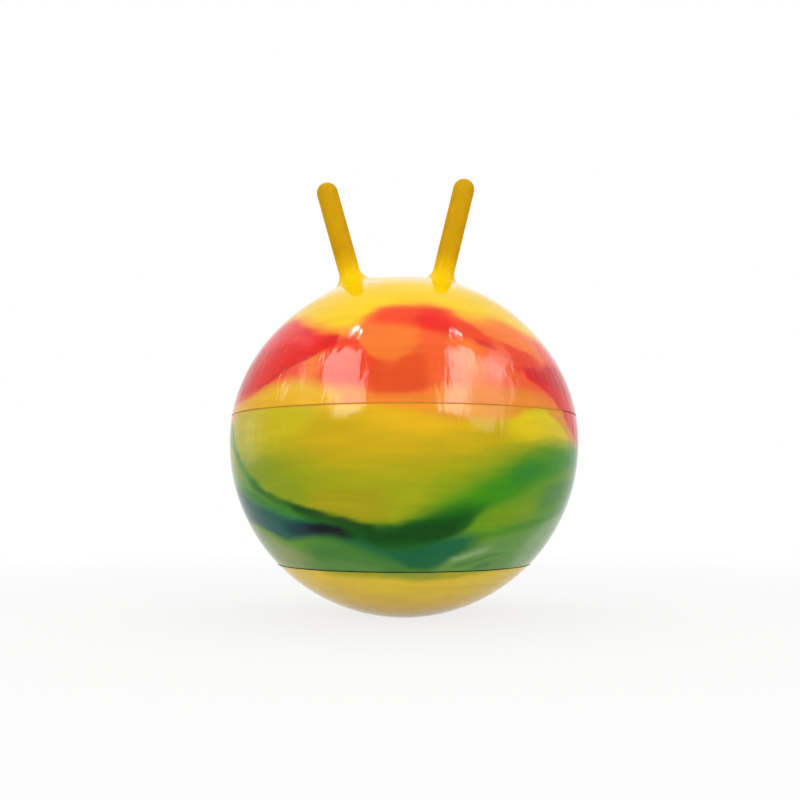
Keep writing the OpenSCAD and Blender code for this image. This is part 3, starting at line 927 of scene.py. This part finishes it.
def seat_on_crown(horn, root, axis):
    """Moves the flare's points along the horn until its brim lies on the crown."""
    moved = 0
    for corner in horn.data.vertices:
        along = (corner.co - root).dot(axis)
        share = 1 - min(max((along - FILLET) / FILLET, 0), 1)
        if share > 0:
            beside = corner.co - along * axis
            found, at, _, _ = crown.ray_cast(beside + RAY_START * axis, -axis)
            rise = (at - root).dot(axis) + BRIM_LIFT if found else 0
            corner.co += share * rise * axis
            moved += 1
    print(horn.name, "flare points seated on the crown:", moved)


def make_horn(side):
    """One horn in its place, leaned and rooted on the crown. It gets its wall later."""
    root, axis, tip_centre, radius = horn_line(side)
    horn = upright_horn(side + "_horn_skin", radius, (tip_centre - root).length)
    horn.location = root
    horn.rotation_euler = axis.to_track_quat("Z", "Y").to_euler()
    bpy.ops.object.transform_apply(location=True, rotation=True, scale=True)
    seat_on_crown(horn, root, axis)
    return horn, root, axis


left_horn, left_root, left_axis = make_horn("left")
right_horn, right_root, right_axis = make_horn("right")
for side, root in (("left", left_root), ("right", right_root)):
    print(f"{side} horn is rooted {abs(root.x) / MM:.1f} mm from the middle at {root.z / MM:.1f} mm")

# %% [markdown]
# Inside the horns' roots the real skin is open, because the horns are hollow arms of the same
# moulding. The panels get their wall, and a cylinder along each horn cuts the crown there, a little
# smaller than the brim that covers the cut. Another cylinder cuts the band at the back for the valve,
# just wide enough for the seat to close it. The horns get their wall last.

# %% Openings in the skin
OPENING_EDGE = 2 * MM
OPENING_STEPS = 96
OPENING_DEPTH, VALVE_HOLE_DEPTH = 60 * MM, 20 * MM
VALVE_HOLE = 10.05 * MM


def cut_round_hole(panel, centre, axis, radius, depth):
    """Cuts a round hole with a cylinder along an axis."""
    cutter = begin("cutter", bpy.ops.mesh.primitive_cylinder_add, vertices=OPENING_STEPS, radius=radius,
                   depth=depth, location=centre, rotation=axis.to_track_quat("Z", "Y").to_euler())
    bpy.ops.object.mode_set(mode="OBJECT")
    apply_modifier(panel, "BOOLEAN", operation="DIFFERENCE", object=cutter, solver="EXACT")
    bpy.data.objects.remove(cutter)


for panel in (crown, band, base):
    apply_modifier(panel, "SOLIDIFY", thickness=SKIN, offset=-1.0)
flare = GRIPS["left_grip"]["dims"]["r_mm"] * MM + FILLET + BRIM
for root, axis in ((left_root, left_axis), (right_root, right_axis)):
    cut_round_hole(crown, root, axis, flare - OPENING_EDGE, OPENING_DEPTH)
seat_low, seat_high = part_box("valve_seat")
print(f"valve seat is {(seat_high.x - seat_low.x) / MM:.1f} mm wide")
cut_round_hole(band, Vector((0, BALL_RADIUS, EQUATOR)), Vector((0, 1, 0)), VALVE_HOLE, VALVE_HOLE_DEPTH)
for horn in (left_horn, right_horn):
    apply_modifier(horn, "SOLIDIFY", thickness=SKIN, offset=-1.0)

# %% [markdown]
# The parts of the mould met along two level lines, and each left a fine bead on the skin. A bead is a
# small circle, flattened until it stands proud by less than half a millimetre, and turned round the
# ball at the height of its CAD node, so that its edge catches the light as on the real one.

# %% Seam lines
SEAM_WIDTH, SEAM_STEPS = 1.6 * MM, 16
SEAM_PROUD = 0.4 * MM


def seam_bead(name, height):
    """A fine bead round the ball at a parting line, turned from a flattened circle."""
    share_up = max(height - EQUATOR, 0) / CROWN_RISE
    share_down = min(height - EQUATOR, 0) / BALL_RADIUS
    radius = BALL_RADIUS * math.sqrt(1 - share_up**2 - share_down**2)
    begin(name, bpy.ops.mesh.primitive_circle_add, vertices=SEAM_STEPS, radius=SEAM_WIDTH / 2,
          location=(radius, 0, height), rotation=(math.pi / 2, 0, 0))
    bpy.ops.mesh.select_all(action="SELECT")
    bpy.ops.transform.resize(value=(2 * SEAM_PROUD / SEAM_WIDTH, 1, 1), center_override=(radius, 0, height))
    turn_on_axis(TURN_STEPS)
    bpy.ops.object.mode_set(mode="OBJECT")
    return bpy.context.object


upper_bead = seam_bead("upper_seam_bead", UPPER_SEAM)
lower_bead = seam_bead("lower_seam_bead", LOWER_SEAM)
print("beads:", [(bead.name, len(bead.data.polygons)) for bead in (upper_bead, lower_bead)])

# %% [markdown]
# The horns are the same moulding, so at the root they have the crown's yellow. Higher up the colour
# turns to a warmer gold, which is also darker than the crown's yellow as painted shade, for the upright
# sides that get less light from above. The mould was blasted there for grip, so the gloss turns to
# satin. A horn bends, so its pattern can't read the place in the room: each point kept its place on
# the upright horn as an attribute, and the material reads that.

# %% The satin of the horns
# The horn's gold is partly a warmer paste and partly painted shade, darker where the upright sides get less
# light.
HORN_GOLD_WITH_PAINTED_SHADE = "#d6a302"
ROOT_FROM, ROOT_TO = 6 * MM, 44 * MM
GRIP_SIZE, GRIP_DEPTH = 2.2 * MM, 0.012 * MM
HORN_CLOUD_SIZE = (12 * MM, 30 * MM)
HORN_TONES = (0.95, 1.05)
SATIN, HORN_IOR = 0.55, 1.09

horn_vinyl, tree = new_material("rotomoulded PVC, gold satin horn with painted shade")
upright = add(tree, "Attribute", attribute_name=UPRIGHT).outputs["Vector"]
along = add(tree, "SeparateXYZ", upright).outputs["Z"]
up_the_horn = add(tree, "MapRange", along, ROOT_FROM, ROOT_TO, interpolation_type="SMOOTHSTEP")
gold = {UNDER: linear(YELLOW), OVER: linear(HORN_GOLD_WITH_PAINTED_SHADE)}
colour = add(tree, "Mix", up_the_horn, gold, data_type="RGBA")
cloud = scaled_noise(tree, upright, *HORN_CLOUD_SIZE, detail=3.0)
tone = add(tree, "MapRange", cloud, *MOST_NOISE, *HORN_TONES)
colour = add(tree, "Mix", 1.0, {UNDER: colour, OVER: tone}, data_type="RGBA", blend_type="MULTIPLY")
pores = scaled_noise(tree, upright, GRIP_SIZE, GRIP_SIZE, detail=2.0)
pores = add(tree, "Math", pores, up_the_horn, operation="MULTIPLY")
bump = add(tree, "Bump", {"Height": pores, "Distance": GRIP_DEPTH, "Strength": 1.0})
satin = add(tree, "MapRange", up_the_horn, 0.0, 1.0, GLOSS[1], SATIN)
looks = {"Base Color": colour, "Roughness": satin, "Normal": bump, "IOR": HORN_IOR}
add(tree, "OutputMaterial", {"Surface": add(tree, "BsdfPrincipled", looks)})
print("horns: crown yellow at the root to gold at", round(ROOT_TO / MM), "mm")

# %% [markdown]
# At a parting line the skin was trimmed with a blade, so the fine bead is dull. It is darker than what
# lies beside it: brown and gold at the crown's edge, red where the scarlet tongue crosses it, and olive
# to green black under the band. The swirls serve here too, because they are placed by the same
# azimuths.

# %% The parting lines
def line_swirl(colour, start, end, tips, strength=1.0):
    """A swirl over the whole height of the bead, from one azimuth to another."""
    thirds = [start + share * (end - start) / 3 for share in range(4)]
    return swirl(colour, [(degrees, BOTTOM, TOP) for degrees in thirds], strength=strength, tips=tips)


LINE_OVER_GOLD, LINE_OVER_LEMON, LINE_OVER_RED = "#ba9c14", "#c6a614", "#a01010"
LINE_BROWN, LINE_OLIVE, LINE_BLACK = "#ca8228", "#5c6c24", "#001c0a"
TRIMMED = {"roughness": (0.4, 0.5), "ior": 1.1}
UPPER_LINE_SWIRLS = (
    line_swirl(LINE_OVER_LEMON, 30, 58, (14, 8), 0.5),
    line_swirl(LINE_OVER_RED, 56, 144, (6, 46)),
    line_swirl(LINE_OVER_GOLD, 110, 316, (30, 30)),
)
LOWER_LINE_SWIRLS = (line_swirl(LINE_BLACK, -66, 62, (24, 28)),)
upper_line_vinyl = marbled_vinyl("trimmed PVC, brown parting line", LINE_BROWN, UPPER_LINE_SWIRLS,
                                 **TRIMMED)
lower_line_vinyl = marbled_vinyl("trimmed PVC, dark green parting line", LINE_OLIVE, LOWER_LINE_SWIRLS,
                                 **TRIMMED)
print("parting lines:", len(UPPER_LINE_SWIRLS), "and", len(LOWER_LINE_SWIRLS), "swirls")

# %% [markdown]
# The valve sits at the back of the band. Its seat is a thick boss of the skin's own mustard vinyl,
# glossy and plain. The plug is a separate injection moulding in polythene, which is milky white, a
# little see-through at its edges and waxy, so it is lit from within a little and is less glossy.

# %% The plastics of the valve
SEAT_MUSTARD, MILKY_WHITE = "#d2ae00", "#e9e6da"
CLOUD_SIZE, CLOUD_TONES = 6 * MM, (0.94, 1.04)
WEAR = 0.12
MILK_DEPTH = 1.0 * MM
POLYTHENE_IOR = 1.51


def plain_plastic(name, colour, roughness, ior, milkiness):
    """A plain moulded plastic with faint clouds. milkiness is the share of light that enters it."""
    material, tree = new_material(name)
    place = add(tree, "TexCoord").outputs["Object"]
    cloud = scaled_noise(tree, place, CLOUD_SIZE, CLOUD_SIZE, detail=3.0)
    tone = add(tree, "MapRange", cloud, *MOST_NOISE, *CLOUD_TONES)
    tinted = {UNDER: linear(colour), OVER: tone}
    tinted = add(tree, "Mix", 1.0, tinted, data_type="RGBA", blend_type="MULTIPLY")
    worn = add(tree, "MapRange", cloud, 0.0, 1.0, roughness, roughness + WEAR)
    looks = {"Base Color": tinted, "Roughness": worn, "IOR": ior, "Subsurface Weight": milkiness,
             "Subsurface Scale": MILK_DEPTH, "Subsurface Radius": (1.0, 1.0, 1.0)}
    add(tree, "OutputMaterial", {"Surface": add(tree, "BsdfPrincipled", looks)})
    return material


seat_vinyl = plain_plastic("rotomoulded PVC, thick mustard boss", SEAT_MUSTARD, roughness=GLOSS[1],
                           ior=VINYL_IOR, milkiness=0.0)
plug_polythene = plain_plastic("injection moulded polythene, milky", MILKY_WHITE, roughness=0.34,
                               ior=POLYTHENE_IOR, milkiness=0.3)
print("valve plastics:", seat_vinyl.name, "and", plug_polythene.name)

# %% [markdown]
# Each piece now gets its material. The panels and the beads ride on the ball's body and take the
# places of their CAD nodes. A horn is soft, but here each horn only takes the place of its CAD horn
# and collar, fixed where it was built. The valve's CAD nodes stay, with the new plastics on their slots.

# %% Finish
for piece, material, slot, node in (
        (crown, crown_vinyl, "crown", "top_cap"),
        (band, band_vinyl, "band", "middle_band"),
        (base, base_vinyl, "base", "bottom_cap"),
        (upper_bead, upper_line_vinyl, "seam", "upper_seam"),
        (lower_bead, lower_line_vinyl, "seam", "lower_seam")):
    finish_piece(piece, material)
    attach(piece, "ball")
    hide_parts(node)
for horn, side, root, axis in (
        (left_horn, "left", left_root, left_axis),
        (right_horn, "right", right_root, right_axis)):
    finish_piece(horn, horn_vinyl)
    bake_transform(horn)
    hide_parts(side + "_horn", side + "_collar")
for name, material in (("valve_seat", seat_vinyl), ("valve_plug", plug_polythene)):
    for material_slot in frame["nodes"][name].material_slots:
        material_slot.material = material
